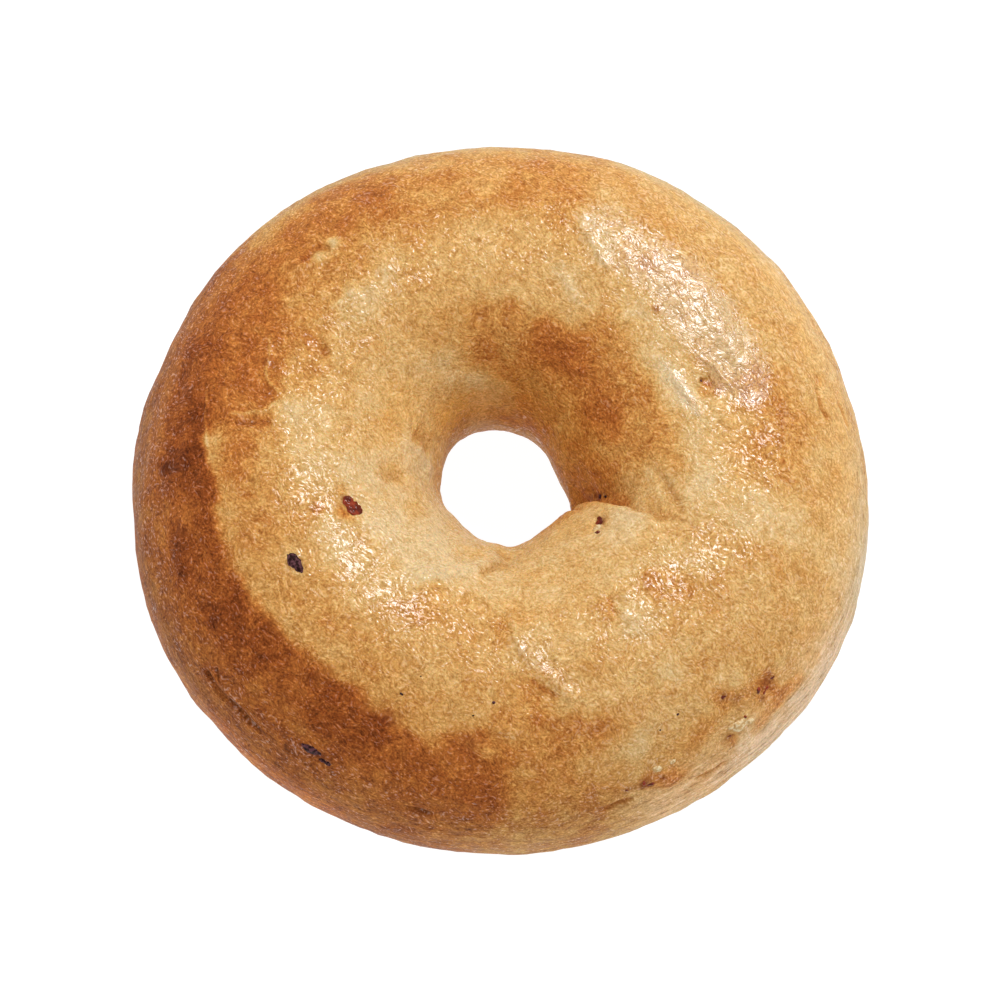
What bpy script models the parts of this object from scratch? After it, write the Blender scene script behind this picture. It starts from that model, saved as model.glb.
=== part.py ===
"""A baked bagel: one uneven ring of dough, flat underneath, with two folds where the rope of dough was
joined, a few shallow hollows in its crust, and the grains and fruit bits that show through it.

The origin is at the middle of the base, +Z is up, and +X points right and +Y away from someone who looks
at the ring as it lies on a table. Angles round the ring are clock angles: degrees from +X, towards +Y.
"""

import math

import bmesh
import bpy
from mathutils import Matrix, Vector, noise
from mathutils.bvhtree import BVHTree

MM = 0.001

# The ring
OUTER_RADIUS = 52.3 * MM
HOLE_RADIUS = 9.2 * MM
HEIGHT = 39.0 * MM
CREST_SHARE = 0.50  # how far from the hole to the outside the ring is highest
WAIST_OUTSIDE = 0.47  # how high the ring is widest
WAIST_INSIDE = 0.50  # how high the hole is narrowest
SINK = 1.22  # how far the round underside would reach below the waist, before it was baked flat
EDGE_EASE = 1.6 * MM  # how softly the side turns into the flat base

# Each wave is (lobes round the ring, size, clock angle of its peak)
OUTER_WAVES = ((2, 0.5 * MM, 175), (3, 0.2 * MM, 90), (4, 0.25 * MM, 55), (5, 0.2 * MM, 50))
HOLE_WAVES = (
    (1, 0.75 * MM, 66),
    (2, 0.8 * MM, 120),
    (3, 0.4 * MM, 97),
    (4, 0.25 * MM, 79),
    (5, 0.3 * MM, 50),
)
HEIGHT_WAVES = ((1, 0.5 * MM, 240), (2, 0.4 * MM, 60), (3, 0.3 * MM, 200))

# Fullness of each quarter of the section: 2 is an ellipse, more is squarer
FULL_TOP_OUTSIDE = 2.1
FULL_TOP_INSIDE = 1.95
FULL_UNDER_OUTSIDE = 2.3
FULL_UNDER_INSIDE = 2.0

AROUND_RING = 116
AROUND_TUBE = 40

# The unevenness of the dough
LUMP_SPACING = 17 * MM
LUMP_SIZE = 0.5 * MM
BASE_CALM = 7 * MM  # lumps and hollows fade out over this height above the base

# Swells and hollows of the crust: (clock angle, distance from the axis, reach, lift)
SWELLS = (
    (318, 20.0 * MM, 8.0 * MM, 0.6 * MM),
    (295, 30.0 * MM, 12.0 * MM, 0.6 * MM),
    (245, 20.0 * MM, 6.0 * MM, 0.6 * MM),
    (22, 31.0 * MM, 6.5 * MM, -0.9 * MM),
    (8, 33.0 * MM, 6.0 * MM, -0.7 * MM),
    (62, 36.0 * MM, 8.0 * MM, 0.7 * MM),
    (36, 37.0 * MM, 9.0 * MM, 0.6 * MM),
    (75, 28.0 * MM, 6.0 * MM, -0.6 * MM),
    (150, 33.0 * MM, 9.0 * MM, -0.5 * MM),
    (190, 40.0 * MM, 9.0 * MM, 0.6 * MM),
)

# Folds where the ends of the rope overlap. Going away from the hole along the line, the crust stands up in
# a lip on the right and drops on the left. A fold fades out along its line, and down the wall of the hole
JOIN_FOLD = (
    (8.6 * MM, -4.2 * MM),
    (12.4 * MM, -6.2 * MM),
    (16.6 * MM, -7.1 * MM),
    (20.7 * MM, -8.2 * MM),
    (28.0 * MM, -9.8 * MM),
)
NOTCH_FOLD = ((0.9 * MM, -8.6 * MM), (0.3 * MM, -12.5 * MM), (-1.5 * MM, -16.5 * MM), (-9.0 * MM, -19.6 * MM))
JOIN_STEP = 3.2 * MM
NOTCH_STEP = 1.2 * MM
JOIN_REACH = 6.5 * MM
NOTCH_REACH = 4.5 * MM
FOLD_SHARPNESS = 0.9 * MM  # half the width over which the crust steps down
FOLD_ENDS_BELOW = 18 * MM
FOLD_FULL_ABOVE = 27 * MM

# Grains and fruit bits: (clock angle, distance from the axis, length, width, turn)
GRAINS = (
    (200, 22.0 * MM, 3.2 * MM, 2.0 * MM, 340),
    (210, 32.5 * MM, 2.9 * MM, 1.9 * MM, 300),
    (239, 48.3 * MM, 4.2 * MM, 1.9 * MM, 325),
    (326, 16.6 * MM, 2.8 * MM, 2.3 * MM, 60),
    (18, 31.0 * MM, 2.6 * MM, 1.8 * MM, 120),
    (45, 29.4 * MM, 1.8 * MM, 1.5 * MM, 20),
    (320, 48.6 * MM, 3.0 * MM, 2.2 * MM, 40),
    (311, 49.1 * MM, 2.6 * MM, 1.7 * MM, 30),
    (296, 48.1 * MM, 2.4 * MM, 1.7 * MM, 20),
    (248, 41.2 * MM, 2.4 * MM, 1.9 * MM, 70),
)
GRAIN_THICKNESS = 1.7 * MM
GRAIN_SHOWS = 0.6 * MM  # how far a grain stands out of its seat
SEAT_DEPTH = 0.7 * MM
SEAT_RIM = 1.6 * MM  # width of the seat beyond the grain's own half length
FINE_RIM = 3.0 * MM  # width of the finer faces beyond it

CRUST_COLOUR = (0.68, 0.38, 0.12, 1.0)
CRUST_ROUGHNESS = 0.42


def waves(angle, terms):
    """The sum of some waves round the ring, at a clock angle in radians."""
    return sum(size * math.cos(lobes * (angle - math.radians(peak))) for lobes, size, peak in terms)


def rounded(part, fullness):
    """A sine or cosine made fuller, so that an ellipse's quarter becomes squarer."""
    return math.copysign(abs(part) ** (2 / fullness), part)


def eased_above_base(height):
    """A height that never goes below the base, with a soft turn where it gets there."""
    if height <= -EDGE_EASE:
        return 0.0
    if height < EDGE_EASE:
        return (height + EDGE_EASE) ** 2 / (4 * EDGE_EASE)
    return height


def section_point(angle, turn):
    """A point of the plain ring. The turn goes round the tube: 0 faces out, a quarter is the crest."""
    outer = OUTER_RADIUS + waves(angle, OUTER_WAVES)
    hole = HOLE_RADIUS + waves(angle, HOLE_WAVES)
    height = HEIGHT + waves(angle, HEIGHT_WAVES)
    crest = hole + (outer - hole) * CREST_SHARE
    outwards, upwards = math.cos(turn), math.sin(turn)
    waist = height * (WAIST_OUTSIDE if outwards >= 0 else WAIST_INSIDE)
    if upwards >= 0:
        fullness = FULL_TOP_OUTSIDE if outwards >= 0 else FULL_TOP_INSIDE
        rise = height - waist
    else:
        fullness = FULL_UNDER_OUTSIDE if outwards >= 0 else FULL_UNDER_INSIDE
        rise = waist * SINK
    across = outer - crest if outwards >= 0 else crest - hole
    radius = crest + across * rounded(outwards, fullness)
    level = eased_above_base(waist + rise * rounded(upwards, fullness))
    return Vector((radius * math.cos(angle), radius * math.sin(angle), level))


def plain_ring():
    """The ring as quads, before its folds and hollows."""
    ring = bmesh.new()
    rows = []
    for i in range(AROUND_RING):
        angle = 2 * math.pi * i / AROUND_RING
        turns = [2 * math.pi * j / AROUND_TUBE for j in range(AROUND_TUBE)]
        rows.append([ring.verts.new(section_point(angle, turn)) for turn in turns])
    for i in range(AROUND_RING):
        row, after = rows[i], rows[(i + 1) % AROUND_RING]
        for j in range(AROUND_TUBE):
            k = (j + 1) % AROUND_TUBE
            ring.faces.new((row[j], after[j], after[k], row[k]))
    bmesh.ops.recalc_face_normals(ring, faces=ring.faces)
    return ring


def on_top(surface, clock, distance):
    """The point and normal where a vertical line meets the top of the crust."""
    angle = math.radians(clock)
    above = Vector((distance * math.cos(angle), distance * math.sin(angle), 2 * HEIGHT))
    point, normal, _, _ = surface.ray_cast(above, Vector((0, 0, -1)))
    return point, normal


def bell(distance, reach):
    return math.exp(-((distance / reach) ** 2))


def eased(share):
    """From 0 to 1, slow at both ends."""
    share = min(1.0, max(0.0, share))
    return share * share * (3 - 2 * share)


def beside(line, spot):
    """Where a spot lies beside a line: its distance, negative on the left, and its share of the way along."""
    lengths = [(b - a).length for a, b in zip(line, line[1:])]
    gone = 0.0
    found = []
    for a, b, length in zip(line, line[1:], lengths):
        share = min(1.0, max(0.0, (spot - a).dot(b - a) / length**2))
        away = (spot - a.lerp(b, share)).length
        on_left = (b - a).cross(spot - a) > 0
        found.append((away, -away if on_left else away, (gone + share * length) / sum(lengths)))
        gone += length
    return min(found)[1:]


def fold_lift(point, line, step, reach):
    """How much a fold lifts its lip, or lowers the crust on the other side."""
    distance, along = beside([Vector(joint) for joint in line], point.xy)
    strength = (1 - eased(along)) * bell(distance, reach)
    strength *= eased((point.z - FOLD_ENDS_BELOW) / (FOLD_FULL_ABOVE - FOLD_ENDS_BELOW))
    return 0.5 * step * strength * math.tanh(distance / FOLD_SHARPNESS)


def shape_crust(ring):
    """Moves the ring's points along their normals: lumps, swells and hollows, the two folds, and the seats."""
    ring.normal_update()
    surface = BVHTree.FromBMesh(ring)
    swells = [(on_top(surface, clock, away)[0], reach, lift) for clock, away, reach, lift in SWELLS]
    seats = [
        (on_top(surface, clock, away)[0], long / 2 + SEAT_RIM) for clock, away, long, _, _ in GRAINS
    ]
    for vert in ring.verts:
        point = vert.co.copy()
        lift = LUMP_SIZE * noise.noise(point / LUMP_SPACING)
        lift += sum(size * bell((point - at).length, reach) for at, reach, size in swells)
        lift -= sum(SEAT_DEPTH * bell((point - at).length, 0.6 * reach) for at, reach in seats)
        lift += fold_lift(point, JOIN_FOLD, JOIN_STEP, JOIN_REACH)
        lift += fold_lift(point, NOTCH_FOLD, NOTCH_STEP, NOTCH_REACH)
        vert.co = point + vert.normal * lift * min(1.0, point.z / BASE_CALM)


def refine_seats(ring):
    """Finer faces where the grains sit, so that their seats are round."""
    surface = BVHTree.FromBMesh(ring)
    for clock, away, long, _, _ in GRAINS:
        at = on_top(surface, clock, away)[0]
        near = [f for f in ring.faces if (f.calc_center_median() - at).length < long / 2 + FINE_RIM]
        edges = {edge for face in near for edge in face.edges}
        bmesh.ops.subdivide_edges(ring, edges=list(edges), cuts=2, use_grid_fill=True)


def crust_material():
    material = bpy.data.materials.new("baked_crust")
    material.use_nodes = True
    shader = material.node_tree.nodes["Principled BSDF"]
    shader.inputs["Base Color"].default_value = CRUST_COLOUR
    shader.inputs["Roughness"].default_value = CRUST_ROUGHNESS
    shader.inputs["Metallic"].default_value = 0.0
    return material


def object_from(shape, name):
    mesh = bpy.data.meshes.new(name)
    shape.to_mesh(mesh)
    shape.free()
    obj = bpy.data.objects.new(name, mesh)
    bpy.context.scene.collection.objects.link(obj)
    return obj


def grain(surface, number, clock, away, long, wide, turn):
    """One grain: a small flattened lump, sunk in its seat with its upper side showing."""
    point, normal = on_top(surface, clock, away)
    size = Matrix.Diagonal((long / 2, wide / 2, GRAIN_THICKNESS / 2, 1.0))
    upright = normal.to_track_quat("Z", "Y").to_matrix().to_4x4()
    centre = point + normal * (GRAIN_SHOWS - GRAIN_THICKNESS / 2)
    place = Matrix.Translation(centre) @ upright @ Matrix.Rotation(math.radians(turn), 4, "Z") @ size
    lump = bmesh.new()
    bmesh.ops.create_icosphere(lump, subdivisions=2, radius=1.0, matrix=place)
    return object_from(lump, f"grain_{number}")


def fuse(obj, pieces):
    """Joins the pieces to the object in one Boolean union, then removes them."""
    group = bpy.data.collections.new("grains")
    bpy.context.scene.collection.children.link(group)
    for piece in pieces:
        bpy.context.scene.collection.objects.unlink(piece)
        group.objects.link(piece)
    union = obj.modifiers.new("grains_fused", "BOOLEAN")
    union.operation = "UNION"
    union.solver = "EXACT"
    union.operand_type = "COLLECTION"
    union.collection = group
    bpy.context.view_layer.objects.active = obj
    bpy.ops.object.modifier_apply(modifier=union.name)
    for piece in pieces:
        bpy.data.objects.remove(piece)
    bpy.data.collections.remove(group)


def centre_on_origin(mesh):
    """Puts the middle of the mesh's box on the axis. Its base is already at zero."""
    middle = [0.0, 0.0, 0.0]
    for axis in (0, 1):
        places = [vert.co[axis] for vert in mesh.vertices]
        middle[axis] = (min(places) + max(places)) / 2
    mesh.transform(Matrix.Translation(Vector(middle)).inverted())


def build():
    for old in list(bpy.data.objects):
        bpy.data.objects.remove(old)
    ring = plain_ring()
    refine_seats(ring)
    shape_crust(ring)
    ring.normal_update()
    surface = BVHTree.FromBMesh(ring)
    bagel = object_from(ring, "bagel")
    fuse(bagel, [grain(surface, number, *sizes) for number, sizes in enumerate(GRAINS)])
    centre_on_origin(bagel.data)
    bagel.data.materials.clear()
    bagel.data.materials.append(crust_material())
    bagel.data.shade_smooth()


build()
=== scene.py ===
"""A glossy multigrain bagel on a pale table, seen from above and a little in front. Lengths in metres."""

import math

import bpy
import numpy as np
from mathutils import Matrix, Vector, noise


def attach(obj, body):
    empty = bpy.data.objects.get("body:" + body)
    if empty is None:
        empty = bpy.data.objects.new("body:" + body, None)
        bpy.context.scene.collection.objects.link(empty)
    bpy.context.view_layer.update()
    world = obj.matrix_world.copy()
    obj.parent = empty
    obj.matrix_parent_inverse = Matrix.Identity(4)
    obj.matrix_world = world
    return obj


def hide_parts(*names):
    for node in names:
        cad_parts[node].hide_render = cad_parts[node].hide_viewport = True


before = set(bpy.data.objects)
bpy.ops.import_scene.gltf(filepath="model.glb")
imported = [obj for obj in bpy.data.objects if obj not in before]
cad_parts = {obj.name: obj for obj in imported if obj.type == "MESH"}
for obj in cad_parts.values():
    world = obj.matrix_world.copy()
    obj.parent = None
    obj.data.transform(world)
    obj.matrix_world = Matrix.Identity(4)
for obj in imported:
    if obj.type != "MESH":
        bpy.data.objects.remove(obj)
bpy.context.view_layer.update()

# The crust: the skin of a rope of wheat dough that was joined into a ring, boiled, glazed and baked on a
# flat tray. It is one surface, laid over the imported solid. The solid's grains are smoothed away from it,
# because the grains are pieces of their own further down.
MM = 0.001
RING_RADIUS = 30.5 * MM
DOUGH_RADIUS = 20.5 * MM
MIDDLE_HEIGHT = 19.5 * MM
AROUND_RING = 360
AROUND_DOUGH = 190

# Places on the crust are (clock, turn) in degrees: the clock goes round the ring from +X towards +Y, and
# the turn goes round the dough, 0 at the outside, 90 on top and 180 in the hole. These are the seats that
# the solid's grains lie in.
GRAIN_SEATS = (
    (200, 114), (210, 84), (239, 28), (324, 133), (19, 90),
    (45, 92), (320, 24), (312, 18), (297, 18), (250, 57),
)

# Each fold or wrinkle is its depth in mm, its half widths on the left and right of its line, how much
# browner it is painted, and its line. A minus depth is a ridge, and a minus tone is paler. The tone is
# partly
# the baking and partly painted light: browner in a sunk fold as painted shade, paler on a ridge as a
# painted highlight.
CREASES = (
    # the join of the rope, where a smooth lip lies over a deep valley
    (1.50, 2.6, 0.45, 0.14, ((346, 180), (345, 168), (343, 154), (340, 138), (339, 126))),
    (0.60, 1.6, 0.45, 0.10, ((341, 145), (339, 128), (338, 115), (339, 103))),
    (-0.50, 0.3, 2.2, -0.04, ((346, 178), (344, 162), (341, 145), (338, 128), (337, 116), (336, 108))),
    (0.30, 0.7, 0.6, 0.10, ((339, 116), (339, 107), (339, 98), (338, 92))),
    (0.30, 0.7, 0.9, 0.12, ((356, 119), (350, 113), (345, 107), (340, 99))),
    # round the hole
    (-0.50, 0.9, 0.9, -0.10, ((145, 141), (156, 143), (164, 147), (164, 154), (169, 159), (180, 163))),
    (0.45, 1.4, 1.4, 0.12, ((154, 148), (158, 154), (161, 162))),
    (0.40, 1.6, 1.2, 0.14, ((187, 132), (187, 138), (186, 146))),
    (-0.45, 1.3, 0.7, -0.12, ((236, 116), (244, 121), (252, 129), (262, 136), (268, 143), (271, 152))),
    (0.45, 0.7, 1.3, 0.16, ((273, 154), (272, 144), (266, 136), (258, 131))),
    # the flap of skin on the left, and the thin ridges that run from it
    (-0.34, 0.24, 0.40, -0.30, ((171, 66), (171, 74), (169, 83), (166, 87))),
    (0.34, 0.40, 0.50, 0.24, ((174, 70), (173, 79), (172, 85))),
    (-0.26, 0.24, 0.24, -0.24, ((151, 71), (156, 75), (162, 80), (165, 87))),
    (-0.18, 0.22, 0.22, -0.34, ((166, 55), (170, 57), (174, 59), (180, 62))),
    (-0.20, 0.40, 0.40, -0.05, ((165, 86), (167, 92), (169, 96), (174, 99))),
    (-0.18, 0.30, 0.30, -0.08, ((130, 88), (136, 86), (142, 86), (148, 81))),
    (-0.22, 0.30, 0.30, -0.08, ((142, 86), (145, 92), (148, 100), (151, 102))),
    (0.30, 0.70, 0.60, 0.20, ((147, 93), (150, 98))), (0.30, 0.5, 0.5, 0.20, ((128, 66), (130, 60))),
    # the top at the back
    (-0.26, 0.50, 0.60, -0.06, ((73, 68), (69, 79), (64, 86), (60, 90))),
    (-0.16, 1.50, 1.50, -0.02, ((64, 73), (61, 78), (56, 82))),
    (-0.26, 0.60, 0.70, -0.06, ((73, 97), (67, 103), (63, 107))),
    (-0.18, 0.30, 0.30, -0.06, ((57, 74), (52, 77), (47, 77))),
    (-0.18, 0.30, 0.30, -0.06, ((40, 78), (31, 78), (25, 76))),
    (-0.30, 1.80, 1.80, 0.00, ((54, 79), (49, 72), (40, 71), (30, 74), (24, 73), (14, 70))),
    # the torn pit on the right, between two ridges
    (-0.34, 0.90, 1.00, -0.04, ((29, 103), (22, 101), (15, 98), (10, 96))),
    (-0.30, 0.45, 0.45, -0.06, ((27, 88), (23, 84), (18, 81), (15, 80))),
    (-0.30, 0.80, 0.80, -0.06, ((13, 90), (10, 86))), (0.50, 0.90, 0.90, 0.16, ((22, 90), (18, 87))),
    (0.40, 0.25, 0.30, 0.40, ((22, 92), (20, 90), (19, 87))),
    (0.32, 0.4, 0.4, 0.24, ((17, 37), (14, 41), (10, 41), (8, 38))),
    (0.28, 0.4, 0.4, 0.20, ((12, 29), (8, 24))),
    # the folds in front
    (0.34, 0.4, 0.5, 0.26, ((277, 84), (280, 78), (283, 73))),
    (0.28, 0.30, 0.35, 0.22, ((305, 104), (305, 101), (304, 96))),
    (-0.20, 0.35, 0.35, -0.10, ((315, 94), (316, 89), (315, 84), (312, 81), (309, 81))),
    (-0.30, 0.5, 0.5, -0.06, ((265, 113), (270, 114), (274, 110), (275, 101), (276, 92))),
    (-0.30, 1.1, 1.1, -0.02, ((276, 96), (279, 88), (282, 80), (286, 74), (290, 74))),
    # slits in the wall, which the dough tore as it rose
    (0.50, 0.5, 0.5, 0.30, ((214, 28), (218, 25), (223, 26), (230, 23))),
    (0.40, 0.4, 0.4, 0.26, ((216, 34), (218, 30))), (0.40, 0.4, 0.4, 0.24, ((254, 25), (260, 24))),
    (0.35, 0.4, 0.4, 0.24, ((286, 20), (292, 22))), (0.35, 0.4, 0.4, 0.24, ((302, 14), (308, 13))),
)

# Each blister or dent is its lift and reach in mm, how much browner it is painted, and its place. The tone
# is partly the baking and partly painted light: mostly browner in a dent as painted shade, and paler on a
# blister as a painted highlight. With no lift it is only a change of tone.
BLISTERS = (
    (0.45, 1.3, -0.14, (127, 63)), (0.40, 1.2, -0.14, (131, 66)), (0.38, 1.3, -0.12, (135, 64)),
    (-0.30, 0.7, 0.20, (129, 64)), (-0.25, 0.6, 0.20, (133, 61)),
    (0.30, 1.3, -0.14, (120, 88)), (0.28, 1.2, -0.14, (126, 90)), (0.32, 1.3, -0.16, (131, 88)),
    (0.28, 1.2, -0.14, (135, 88)), (0.26, 1.1, -0.12, (142, 86)), (0.35, 1.2, -0.06, (307, 93)),
    (0.20, 0.7, -0.20, (151, 64)), (0.40, 1.3, 0.00, (298, 22)), (-0.30, 2.5, 0.04, (339, 103)),
    (-0.40, 2.4, 0.04, (267, 100)), (-0.40, 2.4, 0.06, (278, 76)), (-0.60, 0.7, 0.40, (349, 156)),
    (-0.50, 0.8, 0.26, (18, 92)),
    (-0.30, 1.8, 0.04, (200, 113)), (0.00, 1.1, 0.46, (202, 111)), (0.00, 0.7, 0.20, (194, 113)),
    (0.00, 1.4, 0.14, (200, 99)),
    (0.25, 2.0, -0.16, (210, 84)), (-0.25, 1.5, 0.10, (239, 30)),
    (-0.40, 1.1, 0.34, (328, 134)), (0.30, 1.1, -0.05, (304, 60)), (0.30, 1.0, -0.06, (317, 40)),
    (0.20, 0.7, 0.30, (44, 91)), (-0.20, 0.5, 0.14, (191, 76)), (0.30, 1.3, -0.10, (272, 63)),
    (0.25, 1.1, -0.10, (275, 64)), (0.00, 1.6, 0.26, (248, 60)), (0.00, 2.0, 0.22, (264, 58)),
    (0.00, 1.6, 0.24, (320, 33)), (0.00, 0.6, 0.24, (16, 99)), (0.00, 0.6, 0.24, (359, 64)),
)

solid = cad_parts["bagel"]
bpy.ops.object.select_all(action="DESELECT")
solid.select_set(True)
bpy.context.view_layer.objects.active = solid
bpy.ops.object.duplicate()
form = bpy.context.object
form.name = "dough_form"
bpy.ops.object.mode_set(mode="EDIT")
bpy.ops.mesh.select_all(action="SELECT")
bpy.ops.mesh.remove_doubles(threshold=0.01 * MM)
bpy.ops.mesh.tris_convert_to_quads()
bpy.ops.object.mode_set(mode="OBJECT")
rounding = form.modifiers.new("rounding", "SUBSURF")
rounding.levels = rounding.render_levels = 1
bpy.ops.object.modifier_apply(modifier=rounding.name)

bpy.ops.object.select_all(action="DESELECT")
bpy.ops.mesh.primitive_torus_add(
    major_segments=AROUND_RING, minor_segments=AROUND_DOUGH,
    major_radius=RING_RADIUS, minor_radius=DOUGH_RADIUS, location=(0, 0, DOUGH_RADIUS),
)
crust = bpy.context.object
crust.name = "crust"
bpy.ops.object.transform_apply(location=True, rotation=True, scale=True)
wrap = crust.modifiers.new("laid_on", "SHRINKWRAP")
wrap.target = form
wrap.wrap_method = "NEAREST_SURFACEPOINT"
bpy.ops.object.modifier_apply(modifier=wrap.name)
bpy.data.objects.remove(form)


# The waver of a place comes from noise vectors: how far it reaches and how wide its bends are, in mm.
# Blender starts them from the time of day, unless it is given a number.
noise.seed_set(919)
WAVER = 0.55
WAVER_WIDTH = 2.6


def places(piece):
    """The points of a piece in millimetres, and the clock, turn and distance from the axis of each. Clock
    and turn waver by up to half a millimetre, so that nothing drawn with them has a straight edge."""
    flat = np.empty(3 * len(piece.data.vertices), np.float32)
    piece.data.vertices.foreach_get("co", flat)
    points = flat.reshape(-1, 3).astype(float) / MM
    away = np.hypot(points[:, 0], points[:, 1])
    clock = np.degrees(np.arctan2(points[:, 1], points[:, 0]))
    turn = np.degrees(np.arctan2(points[:, 2] - MIDDLE_HEIGHT / MM, away - RING_RADIUS / MM))
    turn[turn < -90] += 360
    drift = np.array([noise.noise_vector(Vector(point) / WAVER_WIDTH) for point in points])
    clock += np.degrees(WAVER * drift[:, 0] / away)
    turn += np.degrees(WAVER * drift[:, 1] / (DOUGH_RADIUS / MM))
    return points, clock, turn, away


def from_line(spots, line):
    """How far each point lies from a line of (clock, turn) joints, in mm over the crust, how far along the
    line it lies, from 0 to 1, and whether it lies on the left."""
    _, clock, turn, away = spots
    best = np.full(len(clock), 1e9)
    along = np.zeros(len(clock))
    left = np.zeros(len(clock), bool)
    ring = np.radians(1) * away
    dough = np.radians(1) * DOUGH_RADIUS / MM
    joints = list(line) if len(line) > 1 else [line[0], line[0]]
    for i, (start, end) in enumerate(zip(joints, joints[1:])):
        x = ((clock - start[0] + 180) % 360 - 180) * ring
        y = (turn - start[1]) * dough
        way_x = ((end[0] - start[0] + 180) % 360 - 180) * ring
        way_y = (end[1] - start[1]) * dough
        share = np.clip((x * way_x + y * way_y) / np.maximum(way_x**2 + way_y**2, 1e-9), 0, 1)
        off = np.hypot(x - share * way_x, y - share * way_y)
        closer = off < best
        best[closer] = off[closer]
        along[closer] = ((i + share) / (len(joints) - 1))[closer]
        left[closer] = (way_x * y - way_y * x > 0)[closer]
    return best, along, left


def eased(share):
    """A share from 0 to 1 that changes slowly at both ends."""
    share = np.clip(share, 0, 1)
    return share * share * (3 - 2 * share)


WEIGHT_STEPS = 250


def brush(piece, name, weights):
    """A vertex group whose weights, in small steps, come from a list with one value for each point."""
    group = piece.vertex_groups.new(name=name)
    steps = np.round(np.clip(weights, 0, 1) * WEIGHT_STEPS).astype(int)
    for step in range(1, WEIGHT_STEPS + 1):
        chosen = np.flatnonzero(steps == step)
        if len(chosen):
            group.add(chosen.tolist(), step / WEIGHT_STEPS, "REPLACE")
    return group.name


def push(piece, name, strength, weights):
    """Moves a piece's surface outwards by a strength times the weights, and inwards where it is below 0."""
    mover = piece.modifiers.new(name, "DISPLACE")
    mover.strength = strength
    mover.mid_level = 0
    mover.vertex_group = brush(piece, name, weights)
    bpy.ops.object.modifier_apply(modifier=mover.name)
    piece.vertex_groups.remove(piece.vertex_groups[name])


# Each seat of a grain is smoothed away out to its reach, and less over the last few millimetres
SEAT_REACH = 7.0
SEAT_FADE = 2.5
spots = places(crust)
seats = np.zeros(len(spots[1]))
for place in GRAIN_SEATS:
    seats = np.maximum(seats, np.clip((SEAT_REACH - from_line(spots, (place,))[0]) / SEAT_FADE, 0, 1))
healing = crust.modifiers.new("healed_seats", "SMOOTH")
healing.factor = 0.5
healing.iterations = 80
healing.vertex_group = brush(crust, "healed_seats", seats)
bpy.ops.object.modifier_apply(modifier=healing.name)
crust.vertex_groups.remove(crust.vertex_groups["healed_seats"])
evening = crust.modifiers.new("evened", "SMOOTH")
evening.factor = 0.5
evening.iterations = 4
bpy.ops.object.modifier_apply(modifier=evening.name)

# The faces are finer where the crust is creased, blistered or pitted: out to so many half widths of a
# fold or reaches of a blister, but to no more than the widest in mm, and over a margin round it
FOLD_SPAN = 1.6
BLISTER_SPAN = 1.2
WIDEST_FINE = 1.6
FINE_MARGIN = 0.4
SEAT_FINE = 2.4
spots = places(crust)
busy = np.zeros(len(spots[1]), bool)
for _, half_left, half_right, _, line in CREASES:
    off, _, left = from_line(spots, line)
    half = np.where(left, half_left, half_right)
    busy |= off < np.minimum(FOLD_SPAN * half, WIDEST_FINE) + FINE_MARGIN
for _, reach, _, place in BLISTERS:
    busy |= from_line(spots, (place,))[0] < min(BLISTER_SPAN * reach, WIDEST_FINE) + FINE_MARGIN
for place in GRAIN_SEATS:
    busy |= from_line(spots, (place,))[0] < SEAT_FINE
corners = np.empty(4 * len(crust.data.polygons), np.int32)
crust.data.polygons.foreach_get("vertices", corners)
chosen = busy[corners.reshape(-1, 4)].any(axis=1)
bpy.ops.object.mode_set(mode="EDIT")
bpy.ops.mesh.select_mode(type="FACE")
bpy.ops.mesh.select_all(action="DESELECT")
bpy.ops.object.mode_set(mode="OBJECT")
crust.data.polygons.foreach_set("select", chosen)
bpy.ops.object.mode_set(mode="EDIT")
bpy.ops.mesh.subdivide(number_cuts=2, smoothness=0)
bpy.ops.object.mode_set(mode="OBJECT")


def across(spots, half_left, half_right, line):
    """The cross section of a fold: 1 on its line, falling off to both sides and to its ends."""
    off, along, left = from_line(spots, line)
    profile = np.exp(-((off / np.where(left, half_left, half_right)) ** 2))
    return profile * eased(1.05 - abs(2 * along - 1) ** 4)


# The deepest fold and the highest ridge, in mm
DEEPEST = 1.5
HIGHEST = 1.0
spots = places(crust)
sunk = np.zeros(len(spots[1]))
raised = np.zeros(len(spots[1]))
for depth, half_left, half_right, _, line in CREASES:
    profile = abs(depth) * across(spots, half_left, half_right, line)
    if depth > 0:
        sunk = np.maximum(sunk, profile)
    else:
        raised = np.maximum(raised, profile)
for lift, reach, _, place in BLISTERS:
    profile = abs(lift) * np.exp(-((from_line(spots, (place,))[0] / reach) ** 2))
    if lift < 0:
        sunk = np.maximum(sunk, profile)
    else:
        raised = np.maximum(raised, profile)
push(crust, "creases", -DEEPEST * MM, sunk / DEEPEST)
push(crust, "ridges", HIGHEST * MM, raised / HIGHEST)

# Uneven baking: soft dents and smaller ones between them, each with its name, width and depth. The flat
# base has none, and they grow to their full depth over the next few millimetres.
DENTS = (("dents", 5.0 * MM, 0.45 * MM), ("small_dents", 1.8 * MM, 0.24 * MM))
FLAT_BASE = 3.0
BASE_FADE = 6.0
above = np.clip((places(crust)[0][:, 2] - FLAT_BASE) / BASE_FADE, 0, 1)
for name, width, depth in DENTS:
    swells = bpy.data.textures.new(name, "CLOUDS")
    swells.noise_scale = width
    swells.noise_depth = 1
    denting = crust.modifiers.new(name, "DISPLACE")
    denting.texture = swells
    denting.texture_coords = "LOCAL"
    denting.strength = depth
    denting.mid_level = 0.5
    denting.vertex_group = brush(crust, name, above)
    bpy.ops.object.modifier_apply(modifier=denting.name)
    crust.vertex_groups.remove(crust.vertex_groups[name])
crust.data.shade_smooth()


def all_round(turn):
    """A line that runs once round the ring at one turn of the dough."""
    return tuple((clock, turn) for clock in range(0, 361, 60))


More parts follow.
